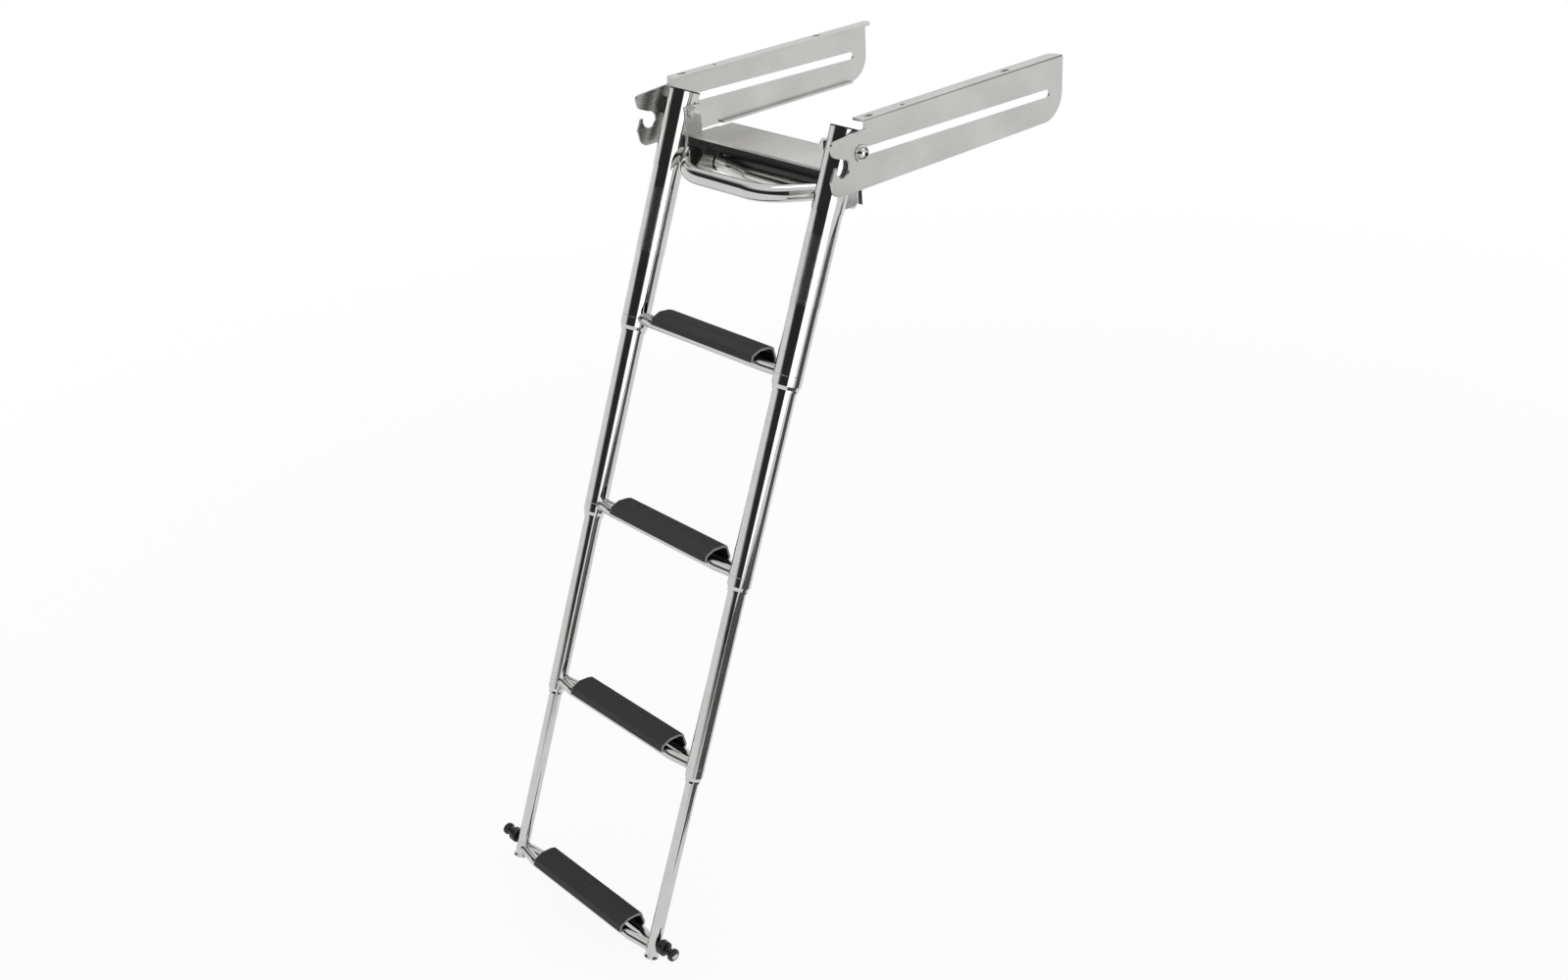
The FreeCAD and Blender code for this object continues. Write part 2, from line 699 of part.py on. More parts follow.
def tread_outline(middle, inset):
    """Section of a tread, drawn in by an inset, from its front edge over the crest to its back edge."""
    front = "-(Sizes.rung_front + Sizes.rung_tube / 2 + Sizes.tread_fit + Sizes.tread_wall - %s)" % inset
    back = "(Sizes.rung_rear + Sizes.rung_tube / 2 + Sizes.tread_fit + Sizes.tread_wall - %s)" % inset
    high = "(%s + Sizes.tread_height - %s)" % (middle, inset)
    return [(front, middle), (front, "%s + Sizes.tread_shoulder - %s / 2" % (middle, inset)),
            ("-Sizes.tread_brow + %s / 2" % inset, "%s - Sizes.tread_brow_drop" % high),
            ("Sizes.tread_crest", high),
            ("Sizes.tread_crest + Sizes.tread_crest_width - %s / 2" % inset, high),
            (back, "%s + Sizes.tread_back_height - %s / 2" % (middle, inset)), (back, middle)]


def ribs_between(start, end, count):
    """Points of low ribs along a straight stretch of a section."""
    points = []
    for index in range(count):
        for share, rise in RIB_STEPS:
            along = (index + share) / count
            across, up = ("(%s) + %g * ((%s) - (%s))" % (one, along, two, one)
                          for one, two in zip(start, end))
            points.append((across, "%s + %d * Sizes.tread_rib" % (up, rise)))
    return points


def tread(section):
    """Black moulded cover with grip ribs, open at both ends, that clips over the two bars."""
    middle = "-%s" % rung_drop(SECTIONS.index(section))
    body = new_body("tread_" + section)
    sketch = new_sketch(body, "YZ_Plane", "profile")
    front, shoulder, brow, crest, rear_crest, rear, back = tread_outline(middle, "0")
    outer = [front, shoulder, brow] + ribs_between(brow, crest, SLOPE_RIBS) + [crest]
    outer += ribs_between(crest, rear_crest, CREST_RIBS) + [rear_crest, rear, back]
    draw_outline(sketch, outer + tread_outline(middle, "Sizes.tread_wall")[::-1])
    pad(body, sketch, "Sizes.tread_length", middle=True)
    place_leaning(body)
    return body


# Feet

def foot_cap(side):
    """Flared plug under the lowest tube."""
    bottom = "-" + FOOT_BOTTOM
    radius, chamfer = "Sizes.foot_cap_diameter / 2", "Sizes.foot_cap_chamfer"
    cap = turned("foot_cap_" + side, [
        ("0", bottom), ("%s - %s" % (radius, chamfer), bottom), (radius, "%s + %s" % (bottom, chamfer)),
        ("Sizes.stile_d_diameter / 2", "-" + TUBE_END), ("0", "-" + TUBE_END)])
    place_leaning(cap, signed(side, HALF_STILES))
    return cap


def lean_out(down, out="0"):
    """Y and Z, from the pivot, of a place on the stile plane."""
    return ("-(%s) * sin(Sizes.lean) - (%s) * cos(Sizes.lean)" % (down, out),
            "-(%s) * cos(Sizes.lean) + (%s) * sin(Sizes.lean)" % (down, out))


def knob(side):
    """Rubber bobbin on the foot, whose waist drops into the track's notch."""
    start = "(%s + Sizes.stile_d_diameter / 2 + Sizes.seat_gap)" % HALF_STILES
    neck = "Sizes.knob_neck_length"
    one = "%s + Sizes.knob_inner_length" % neck
    two = "%s + Sizes.knob_waist_length" % one
    three = "%s + Sizes.knob_outer_length" % two
    bore = "Sizes.stud_diameter / 2 + Sizes.running_gap"
    flange, waist, end = "Sizes.knob_flange / 2", "Sizes.knob_waist / 2", "Sizes.knob_end / 2"
    edge = "Sizes.knob_edge"
    body = turned("knob_" + side, [
        (bore, "0"), (waist, "0"), (waist, neck),
        ("%s - %s" % (flange, edge), neck), (flange, "%s + %s" % (neck, edge)),
        (flange, "%s - %s" % (one, edge)), ("%s - %s" % (flange, edge), one),
        (waist, "%s + %s" % (one, edge)), (waist, "%s - %s" % (two, edge)),
        ("%s - %s" % (end, edge), two), (end, "%s + %s" % (two, edge)),
        (end, "%s - %s" % (three, edge)), ("%s - %s" % (end, edge), three), (bore, three)])
    y, z = lean_out(KNOB_DROP)
    place_across(body, signed(side, start), SIDES[side], y, z)
    return body


def knob_stud(side):
    """Stud through the bobbin, with a flat head on its outer end."""
    start = "(%s + Sizes.stile_d_diameter / 2 + Sizes.seat_gap / 2)" % HALF_STILES
    length = ("(Sizes.knob_neck_length + Sizes.knob_inner_length + Sizes.knob_waist_length"
              " + Sizes.knob_outer_length + Sizes.seat_gap)")
    body = turned("knob_stud_" + side, [
        ("0", "0"), ("Sizes.stud_diameter / 2", "0"), ("Sizes.stud_diameter / 2", length),
        ("Sizes.stud_head / 2", length), ("Sizes.stud_head / 2", "%s + Sizes.stud_head_height / 2" % length),
        ("Sizes.stud_diameter / 2", "%s + Sizes.stud_head_height" % length),
        ("0", "%s + Sizes.stud_head_height" % length)])
    y, z = lean_out(KNOB_DROP)
    place_across(body, signed(side, start), SIDES[side], y, z)
    return body


# Bracket between the stiles

EAR_FACE = "(%s - Sizes.sleeve_diameter / 2 - Sizes.seat_gap)" % HALF_STILES


BETWEEN_EARS = "(%s - Sizes.plate_thickness - Sizes.seat_gap)" % EAR_FACE


def bracket_plate():
    """Level step plate between the ears."""
    body = new_body("bracket_plate")
    profile = new_sketch(body, "YZ_Plane", "profile")
    top, under = "-Sizes.plate_top", "-Sizes.plate_top - Sizes.plate_thickness"
    draw_outline(profile, [("-Sizes.plate_front", under), ("Sizes.plate_back", under),
                           ("Sizes.plate_back", top), ("-Sizes.plate_front", top)])
    pad(body, profile, "2 * %s" % BETWEEN_EARS, middle=True)
    place_level(body)
    return body


def back_panel():
    """Black panel from the underside of the step plate down to the back bar."""
    body = new_body("back_panel")
    profile = new_sketch(body, "YZ_Plane", "profile")
    high = "-(Sizes.plate_top + Sizes.plate_thickness + Sizes.seat_gap)"
    low = "-(Sizes.back_drop - Sizes.back_tube / 2 - Sizes.seat_gap)"
    near = "Sizes.panel_place - Sizes.panel_thickness"
    draw_outline(profile, [(near, low), ("Sizes.panel_place", low),
                           ("Sizes.panel_place", high), (near, high)])
    pad(body, profile, "2 * %s" % BETWEEN_EARS, middle=True)
    place_level(body)
    return body


def bracket_ear(side):
    """Side plate from the pivot down past the hand tube, welded to the sleeve."""
    body = new_body("bracket_ear_" + side)
    outline = new_sketch(body, "YZ_Plane", "outline")
    step = "-Sizes.plate_top"
    corners = [("-Sizes.ear_front", "Sizes.ear_top"), ("Sizes.ear_shoulder", "Sizes.ear_top"),
               ("Sizes.ear_shoulder", step), ("Sizes.panel_place", step),
               ("Sizes.panel_place", "-Sizes.ear_bottom"), ("Sizes.ear_heel", "-Sizes.ear_bottom"),
               ("-Sizes.ear_front - Sizes.ear_nose", "-Sizes.hand_drop - Sizes.ear_nose_drop"),
               ("-Sizes.ear_front", "-Sizes.hand_drop + Sizes.ear_nose_rise")]
    draw_outline(outline, corners)
    pad(body, outline, "Sizes.plate_thickness", backwards=SIDES[side] > 0)
    bore = new_sketch(body, "YZ_Plane", "bore")
    draw_circle(bore, "0", "0", "Sizes.bolt_shank + 2 * Sizes.running_gap")
    pocket(body, bore, "3 * Sizes.plate_thickness")
    lowest = [(reach, "-Sizes.ear_bottom") for reach in ("Sizes.panel_place", "Sizes.ear_heel")]
    round_edges(body, "corners", "Sizes.ear_corner", across_at(lowest))
    place_level(body, signed(side, EAR_FACE))
    return body


def bracket_bar(label, tube_size, drop_size, root, bow):
    """Bowed round bar between the ears, square to the tracks, from its root to the middle of its bow."""
    diameter, drop = value("Sizes." + tube_size), value("Sizes." + drop_size)
    root, bow, half = value(root), value(bow), value(BETWEEN_EARS)
    path = bowed_path(half, root, half - value("Sizes.hand_corner"), bow, value("Sizes.hand_bend"), drop)
    bar = bar_along(path, diameter)
    reach = abs(bow) + abs(root) + 2 * diameter
    limit = Part.makeBox(2 * half, 2 * reach, 2 * reach, FreeCAD.Vector(-half, -reach, -drop - reach))
    node = doc.addObject("Part::Feature", label)
    node.Label = label
    node.Shape = bar.common(limit).Solids[0]
    place_level(node)
    return node


nodes = []
for side in SIDES:
    nodes += [track(side), pivot_bolt(side), sleeve(side), bracket_ear(side), knob(side)]
    nodes += [stile_tube(section, side) for section in SECTIONS]
for label, make in (("web_spacers", web_spacer), ("pivot_nuts", pivot_nut), ("stile_caps", stile_cap),
                    ("foot_caps", foot_cap), ("knob_studs", knob_stud)):
    nodes.append(pair(label, [make(side) for side in SIDES]))
for section in SECTIONS:
    if section != "d":
        nodes.append(pair("collars_" + section, [collar(section, side) for side in SIDES]))
    if section != "a":
        nodes.append(pair("guides_" + section, [guide(section, side) for side in SIDES]))
    nodes += [rung_bar(section, "front"), rung_bar(section, "rear"), tread(section)]
nodes += [bracket_plate(), back_panel()]
nodes.append(bracket_bar("hand_bar", "hand_tube", "hand_drop", "-Sizes.hand_root", "-Sizes.hand_reach"))
nodes.append(bracket_bar("back_bar", "back_tube", "back_drop", "Sizes.back_root", "Sizes.back_near"))
doc.recompute()

for thing in doc.Objects:
    if "Invalid" in thing.State or "Error" in thing.State:
        raise RuntimeError("%s is %s" % (thing.Label, thing.State))
for node in nodes:
    if node.Shape.isNull() or not node.Shape.isValid():
        raise RuntimeError("%s has no valid shape" % node.Label)

os.makedirs("parts", exist_ok=True)
for node in nodes:
    node.Shape.exportStep(os.path.join("parts", node.Label + ".step"))
print("%d sub-parts" % len(nodes))
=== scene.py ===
"""Looks of the retractable boat ladder: mirror-polished tube, satin sheet and black mouldings.

Everything is in metres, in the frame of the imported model: the origin is on the right track's
flange, X runs across, Y inboard along the tracks and Z up. The ladder's own axis leans, and
places along it are counted down from the pivot bolts.
"""

import json
import math

import bpy
from mathutils import Matrix, Vector


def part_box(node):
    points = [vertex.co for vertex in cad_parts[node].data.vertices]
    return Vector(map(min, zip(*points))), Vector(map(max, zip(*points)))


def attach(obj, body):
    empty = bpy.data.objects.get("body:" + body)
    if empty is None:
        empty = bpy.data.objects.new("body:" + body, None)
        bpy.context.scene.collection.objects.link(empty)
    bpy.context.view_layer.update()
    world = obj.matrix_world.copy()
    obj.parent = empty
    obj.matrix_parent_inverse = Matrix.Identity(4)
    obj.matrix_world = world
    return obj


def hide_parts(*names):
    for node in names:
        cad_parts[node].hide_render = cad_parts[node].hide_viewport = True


MM = 0.001

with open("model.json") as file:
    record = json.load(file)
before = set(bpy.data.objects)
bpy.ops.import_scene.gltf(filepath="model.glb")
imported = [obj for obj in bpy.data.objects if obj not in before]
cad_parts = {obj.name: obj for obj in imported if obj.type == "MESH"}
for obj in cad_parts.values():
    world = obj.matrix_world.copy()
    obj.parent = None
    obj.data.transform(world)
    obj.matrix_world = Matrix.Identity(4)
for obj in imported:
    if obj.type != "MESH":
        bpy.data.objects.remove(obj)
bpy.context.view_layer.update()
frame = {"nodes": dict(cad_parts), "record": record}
nodes = frame["nodes"]

# The photograph's camera, found by fitting the tracks and the stiles
CAMERA_TARGET = Vector((-0.171, -0.185, -0.554))
CAMERA_AZIMUTH = 48.2
CAMERA_ELEVATION = 28.26
CAMERA_ROLL = math.radians(-3.6)
CAMERA_DISTANCE = 2.299
CAMERA_LENS = 37.8

# The ladder's line, as in the CAD model
MIDDLE_X = -0.170
PIVOT = Vector((MIDDLE_X, -0.192, -0.0375))
LEAN = math.radians(22.6)
DOWN = Vector((0.0, -math.sin(LEAN), -math.cos(LEAN)))
INBOARD = Vector((0.0, math.cos(LEAN), -math.sin(LEAN)))
HALF_STILES = 148 * MM

# The bolts in the slots
WEB_FACE = 180.2 * MM
WASHER_RADIUS, WASHER_HEIGHT = 10.5 * MM, 1.5 * MM
SHANK_RADIUS = 5 * MM
HEAD_RADIUS, DOME_RADIUS, HEAD_TOP = 7.5 * MM, 5.5 * MM, 8.5 * MM
BOLT_CHAMFER = 0.3 * MM
SOCKET_HALF_FLATS, SOCKET_DEPTH, SOCKET_POINT, SOCKET_EDGE = 2.5 * MM, 3.6 * MM, 0.6 * MM, 0.3 * MM
DOME_END, DOME_STEP = 77, 7
ROUND_STEPS = 48
NEARLY_NOTHING = 0.01 * MM

# The rungs: bodies and tube radii by section, and each bar's root and heading at the right stile
SECTIONS = {
    "a": ("top_section", 19 * MM),
    "b": ("second_section", 15.5 * MM),
    "c": ("third_section", 12 * MM),
    "d": ("bottom_section", 8.75 * MM),
}
FIRST_RUNG, RUNG_PITCH = 278 * MM, 262 * MM
RUNG_RADIUS = 7 * MM
RUNG_ROOTS = {"front": (1 * MM, Vector((-0.980, -0.197))), "rear": (7 * MM, Vector((-0.978, 0.210)))}
HALF_TREAD, SAWN_EDGE = 98 * MM, 0.9 * MM

# The weld beads
WELD_STEPS, SHORTEST_WELD = 72, 4
BEAD_RADIUS, BEAD_SIDES = 1.2 * MM, 8
BEAD_RIPPLES, RIPPLE_HEIGHT = 22, 0.12
BEAD_END, BEAD_END_STEP = 0.25, 0.25

# The thick bar behind the hand loop, and the black panel's lower lip behind it. The lip's black is painted
# shade for the dark inside under the plate.
BAR_RADIUS = 11 * MM
BAR_DROP, BAR_ROOT, BAR_NEAR = 77 * MM, 40 * MM, 25 * MM
BAR_HALF, BAR_FLAT_HALF = 124.3 * MM, 41.8 * MM
BAR_BEND, BAR_BEND_TURN, BAR_BEND_STEPS = 68 * MM, math.radians(11.2), 5
BAR_WELD = [(3 * MM, 0.0), (1.2 * MM, 0.5 * MM), (0.0, 2.2 * MM)]
PANEL_INBOARD = 44 * MM
LIP_INBOARD, LIP_THICKNESS = 53.5 * MM, 1.5 * MM
LIP_TOP, LIP_BOTTOM, LIP_END_GAP = 62.8 * MM, 88 * MM, 0.2 * MM

# The studio: floor, cards that only mirrors see, and lamps as place, aim, size and glow
FLOOR_HEIGHT = -1.075
FLOOR_RADIUS, FLOOR_FADE_START = 3.2, 0.4
FLOOR_SIDES = 96
FLOOR_GLOW_SHARE = 0.88
ROOM_WHITE, CURTAIN_BLACK, DOORWAY_DARK, WALL_GREY, LIGHT_ON_ROUGH = 0.97, 0.03, 0.1, 0.9, 0.74
CARD_AZIMUTH, CARD_AWAY, CARD_HALF_WIDTH = 127, 0.36, 0.14
CARD_TOP, CARD_BOTTOM = 0.06, 1.15
LOW_CARD_AZIMUTH, LOW_CARD_AWAY, LOW_CARD_HALF_WIDTH, LOW_CARD_HEIGHT = 84, 0.45, 0.22, 0.46
RIGHT_LAMP_AIM, RIGHT_LAMP_AZIMUTH, RIGHT_LAMP_AWAY = Vector((MIDDLE_X, -0.3, 0.3)), 73, 2.6


def linear(colour):
    """Linear red, green, blue and alpha of an sRGB hex value."""
    parts = [int(colour[start:start + 2], 16) / 255 for start in (1, 3, 5)]
    return [part / 12.92 if part <= 0.04045 else ((part + 0.055) / 1.055) ** 2.4 for part in parts] + [1.0]


def level_direction(azimuth):
    """Level unit vector at an azimuth in degrees, counted from the water side (-Y) towards +X."""
    angle = math.radians(azimuth)
    return Vector((math.sin(angle), -math.cos(angle), 0.0))


def direction(azimuth, elevation):
    angle = math.radians(elevation)
    return level_direction(azimuth) * math.cos(angle) + Vector((0.0, 0.0, math.sin(angle)))


def on_ladder(across, inboard, drop):
    """Point of the leaning ladder, from its middle line, its plane and the pivot bolts."""
    return PIVOT + Vector((across, 0.0, 0.0)) + INBOARD * inboard + DOWN * drop


# Shader nodes

def add_node(tree, kind, settings=None, links=None, **properties):
    """Adds one shader node. Settings fill its input sockets and links join them to other outputs."""
    made = tree.nodes.new("ShaderNode" + kind)
    for name, setting in properties.items():
        setattr(made, name, setting)
    for socket, setting in (settings or {}).items():
        made.inputs[socket].default_value = setting
    for socket, source in (links or {}).items():
        tree.links.new(source, made.inputs[socket])
    return made


def new_material(name):
    """Empty node material and its tree."""
    material = bpy.data.materials.new(name)
    material.use_nodes = True
    material.node_tree.nodes.clear()
    return material, material.node_tree


def close_material(tree, shader):
    """Makes a shader the surface of its material."""
    add_node(tree, "OutputMaterial", links={"Surface": shader.outputs[0]})


def ramp(tree, source, stops):
    """Colour ramp through (place, hex colour) stops."""
    made = add_node(tree, "ValToRGB", links={"Fac": source})
    elements = made.color_ramp.elements
    while len(elements) < len(stops):
        elements.new(1.0)
    for element, (place, colour) in zip(elements, stops):
        element.position = place
        element.color = linear(colour)
    return made


def soft_edge(tree, source, low, high):
    """Number that eases from 0 to 1 as the source goes from low to high."""
    return add_node(tree, "MapRange", {"From Min": low, "From Max": high}, {"Value": source},
                    interpolation_type="SMOOTHSTEP").outputs["Result"]


def feed(tree, socket, source):
    """Sets a socket to a number, or links it to an output."""
    if isinstance(source, (int, float)):
        socket.default_value = source
    else:
        tree.links.new(source, socket)


def times(tree, *sources):
    """Product of several numbers or outputs."""
    product = sources[0]
    for source in sources[1:]:
        made = add_node(tree, "Math", operation="MULTIPLY")
        feed(tree, made.inputs[0], product)
        feed(tree, made.inputs[1], source)
        product = made.outputs[0]
    return product


def blend(tree, share, one, two):
    """Number that goes from one to two with the share. Both are numbers or outputs."""
    made = add_node(tree, "Mix", links={"Factor": share}, data_type="FLOAT")
    feed(tree, made.inputs["A"], one)
    feed(tree, made.inputs["B"], two)
    return made.outputs["Result"]


# Metals

def polished_stainless(name, satin_band=None):
    """Mirror-polished stainless tube. Buffing leaves soft smears and a faint unevenness in the mirror.

    A satin band is given as two places down the stile. Its surface is lightly bead-blasted, so that
    the mirror turns to a speckled sheen there.
    """
    material, tree = new_material(name)
    place = add_node(tree, "TexCoord").outputs["Object"]
    waves = add_node(tree, "TexNoise", {"Scale": 11.0, "Detail": 1.5}, {"Vector": place}).outputs["Fac"]
    smears = add_node(tree, "TexNoise", {"Scale": 45.0, "Detail": 5.0, "Roughness": 0.6},
                      {"Vector": place}).outputs["Fac"]
    rough = add_node(tree, "MapRange", {"From Min": 0.35, "From Max": 0.75, "To Min": 0.045, "To Max": 0.105},
                     {"Value": smears}).outputs["Result"]
    height = waves
    if satin_band:
        down = add_node(tree, "VectorMath", {1: DOWN}, {0: place}, operation="DOT_PRODUCT").outputs["Value"]
        start, end = (PIVOT.dot(DOWN) + edge * MM for edge in satin_band)
        band = times(tree, soft_edge(tree, down, start - MM, start + MM),
                     soft_edge(tree, down, end + MM, end - MM))
        speckle = add_node(tree, "TexNoise", {"Scale": 620.0, "Detail": 2.0},
                           {"Vector": place}).outputs["Fac"]
        grain = add_node(tree, "MapRange",
                         {"From Min": 0.35, "From Max": 0.65, "To Min": 0.13, "To Max": 0.22},
                         {"Value": speckle}).outputs["Result"]
        rough = blend(tree, band, rough, grain)
        height = blend(tree, band, waves, speckle)
    tint = ramp(tree, smears, [(0.3, "#C4C3C1"), (0.7, "#CECECD")])
    dents = add_node(tree, "Bump", {"Strength": 0.05, "Distance": 1.0 * MM}, {"Height": height})
    shader = add_node(tree, "BsdfPrincipled", {"Metallic": 1.0},
                      {"Base Color": tint.outputs["Color"], "Roughness": rough,
                       "Normal": dents.outputs["Normal"]})
    close_material(tree, shader)
    return material


def satin_stainless(name, light, dark, grain_scale, roughness):
    """Stainless sheet with brushing marks and faint clouds of handling.

    The grain scale is in marks per metre along each axis: a small one draws the marks out along that
    axis, and the same on all three looks buffed. Real marks are about 0.1 mm apart. They are drawn
    1 mm apart so that they still show.
    """
    material, tree = new_material(name)
    place = add_node(tree, "TexCoord").outputs["Object"]
    stretch = add_node(tree, "Mapping", {"Scale": grain_scale}, {"Vector": place})
    grain = add_node(tree, "TexNoise", {"Scale": 1.0, "Detail": 6.0, "Roughness": 0.65},
                     {"Vector": stretch.outputs["Vector"]}).outputs["Fac"]
    clouds = add_node(tree, "TexNoise", {"Scale": 13.0, "Detail": 3.0}, {"Vector": place}).outputs["Fac"]
    mixed = add_node(tree, "Mix", {"Factor": 0.6}, {"A": grain, "B": clouds}, data_type="FLOAT")
    tint = ramp(tree, mixed.outputs["Result"], [(0.38, dark), (0.62, light)])
    gloss = add_node(tree, "MapRange", {"From Min": 0.3, "From Max": 0.7, "To Min": roughness - 0.05,
                                        "To Max": roughness + 0.07}, {"Value": grain})
    scratches = add_node(tree, "Bump", {"Strength": 0.1, "Distance": 0.05 * MM}, {"Height": grain})
    shader = add_node(tree, "BsdfPrincipled", {"Metallic": 1.0},
                      {"Base Color": tint.outputs["Color"], "Roughness": gloss.outputs["Result"],
                       "Normal": scratches.outputs["Normal"]})
    close_material(tree, shader)
    return material


# Plastics and rubber

def moulded_black(name, colours, shine, grit, cut_colour=None):
    """Black moulding with a spark-eroded grain, given as grains per metre, and a little dust.

    A tread is an extrusion sawn to length. The saw leaves its end faces and their edges grey.
    """
    material, tree = new_material(name)
    place = add_node(tree, "TexCoord").outputs["Object"]
    grain = add_node(tree, "TexNoise", {"Scale": grit, "Detail": 3.0}, {"Vector": place}).outputs["Fac"]
    dust = add_node(tree, "TexNoise", {"Scale": 24.0, "Detail": 4.0}, {"Vector": place}).outputs["Fac"]
    tint = ramp(tree, dust, [(0.35, colours[0]), (0.7, colours[1])])
    gloss = add_node(tree, "MapRange", {"To Min": shine - 0.06, "To Max": shine + 0.08}, {"Value": dust})
    skin = add_node(tree, "Bump", {"Strength": 0.35, "Distance": 0.08 * MM}, {"Height": grain})
    colour = tint.outputs["Color"]
    if cut_colour:
        across = add_node(tree, "SeparateXYZ", links={"Vector": place}).outputs["X"]
        from_middle = add_node(tree, "Math", {1: MIDDLE_X}, {0: across}, operation="SUBTRACT").outputs[0]
        reach = add_node(tree, "Math", links={0: from_middle}, operation="ABSOLUTE").outputs[0]
        sawn = soft_edge(tree, reach, HALF_TREAD - SAWN_EDGE, HALF_TREAD - 0.5 * MM)
        colour = add_node(tree, "Mix", {"B": linear(cut_colour)}, {"Factor": sawn, "A": colour},
                          data_type="RGBA").outputs["Result"]
    shader = add_node(tree, "BsdfPrincipled", {"IOR": 1.5},
                      {"Base Color": colour, "Roughness": gloss.outputs["Result"],
                       "Normal": skin.outputs["Normal"]})
    close_material(tree, shader)
    return material


def dress(name, material):
    """Gives a CAD node its finish."""
    thing = nodes[name]
    thing.data.materials.clear()
    thing.data.materials.append(material)


# Pieces of their own

def add_piece(name, body, points, faces, materials, face_materials=None):
    """Mesh piece that rides on a body, smooth apart from its sharp edges."""
    mesh = bpy.data.meshes.new(name)
    mesh.from_pydata(points, [], faces)
    for material in materials:
        mesh.materials.append(material)
    for face, index in zip(mesh.polygons, face_materials or []):
        face.material_index = index
    mesh.shade_smooth()
    mesh.set_sharp_from_angle(angle=math.radians(35))
    piece = bpy.data.objects.new(name, mesh)
    bpy.context.scene.collection.objects.link(piece)
    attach(piece, body)
    return piece


def rings_to_faces(rings, steps):
    """Four-sided faces between rings of as many points."""
    return [(ring * steps + step, ring * steps + (step + 1) % steps,
             (ring + 1) * steps + (step + 1) % steps, (ring + 1) * steps + step)
            for ring in range(rings - 1) for step in range(steps)]


def capped_faces(rings, steps):
    """Faces between rings, with a cap on the first and on the last ring."""
    caps = [tuple(range(steps))[::-1], tuple(range((rings - 1) * steps, rings * steps))]
    return rings_to_faces(rings, steps) + caps


def sweep(line, reaches, outwards, steps):
    """Points and faces of a closed tube along a line, with its own reach at each of the line's points."""
    looped = (line[0] - line[-1]).length < NEARLY_NOTHING
    points = []
    for place, (spot, reach, outward) in enumerate(zip(line, reaches, outwards)):
        before, after = line[max(place - 1, 0)], line[min(place + 1, len(line) - 1)]
        if looped and place in (0, len(line) - 1):
            before, after = line[-2], line[1]
        sideways = (after - before).cross(outward).normalized()
        for step in range(steps):
            turn = math.tau * step / steps
            points.append(spot + (outward * math.cos(turn) + sideways * math.sin(turn)) * reach)
    return points, capped_faces(len(line), steps)


def domed_bolt(side, sign, material, socket_material):
    """Pivot bolt with its washer and a domed head with a six-sided socket. The socket's faces are painted
    dark: painted shade of the deep recess, with a little grime.
    """
    node = "pivot_bolt_" + side
    low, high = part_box(node)
    inner_end = (low[0] if sign > 0 else high[0]) - MIDDLE_X
    shank_end = abs(inner_end) - WEB_FACE
    flat = HEAD_RADIUS - DOME_RADIUS
    profile = [(shank_end, 0.0), (shank_end, SHANK_RADIUS - BOLT_CHAMFER),
               (shank_end + BOLT_CHAMFER, SHANK_RADIUS), (0.0, SHANK_RADIUS),
               (0.0, WASHER_RADIUS - BOLT_CHAMFER), (BOLT_CHAMFER, WASHER_RADIUS),
               (WASHER_HEIGHT - BOLT_CHAMFER, WASHER_RADIUS), (WASHER_HEIGHT, WASHER_RADIUS - BOLT_CHAMFER),
               (WASHER_HEIGHT, HEAD_RADIUS)]
    dome_base = HEAD_TOP - DOME_RADIUS
    for degrees in range(0, DOME_END, DOME_STEP):
        turn = math.radians(degrees)
        profile.append((dome_base + DOME_RADIUS * math.sin(turn), flat + DOME_RADIUS * math.cos(turn)))

    def socket_reach(angle):
        return SOCKET_HALF_FLATS / math.cos(angle % (math.pi / 3) - math.pi / 6)

    def dome_height(reach):
        return dome_base + math.sqrt(DOME_RADIUS ** 2 - max(reach - flat, 0.0) ** 2)

    points = []

    def add_ring(place_at):
        for step in range(ROUND_STEPS):
            angle = math.tau * step / ROUND_STEPS
            out, reach = place_at(angle)
            points.append((MIDDLE_X + sign * (WEB_FACE + out), PIVOT.y + reach * math.cos(angle),
                           PIVOT.z + reach * math.sin(angle)))

    for out, reach in profile:
        add_ring(lambda angle: (out, max(reach, NEARLY_NOTHING)))
    for grow in (SOCKET_EDGE, 0.0):
        add_ring(lambda angle: (dome_height(socket_reach(angle) + grow), socket_reach(angle) + grow))
    socket_start = len(points) // ROUND_STEPS - 1
    floor_height = HEAD_TOP - SOCKET_DEPTH
    add_ring(lambda angle: (floor_height, socket_reach(angle)))
    add_ring(lambda angle: (floor_height - SOCKET_POINT, NEARLY_NOTHING))
    rings = len(points) // ROUND_STEPS
    faces = capped_faces(rings, ROUND_STEPS)
    if sign > 0:
        faces = [face[::-1] for face in faces]
    # The socket's faces take the second material: painted shade of the deep recess, with a little grime.
    in_socket = [1 if index // ROUND_STEPS >= socket_start and index < (rings - 1) * ROUND_STEPS else 0
                 for index in range(len(faces))]
    in_socket[-1] = 1
    bolt = add_piece("domed_bolt_" + side, "carriage", points, faces,
                     [material, socket_material], in_socket)
    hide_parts(node)


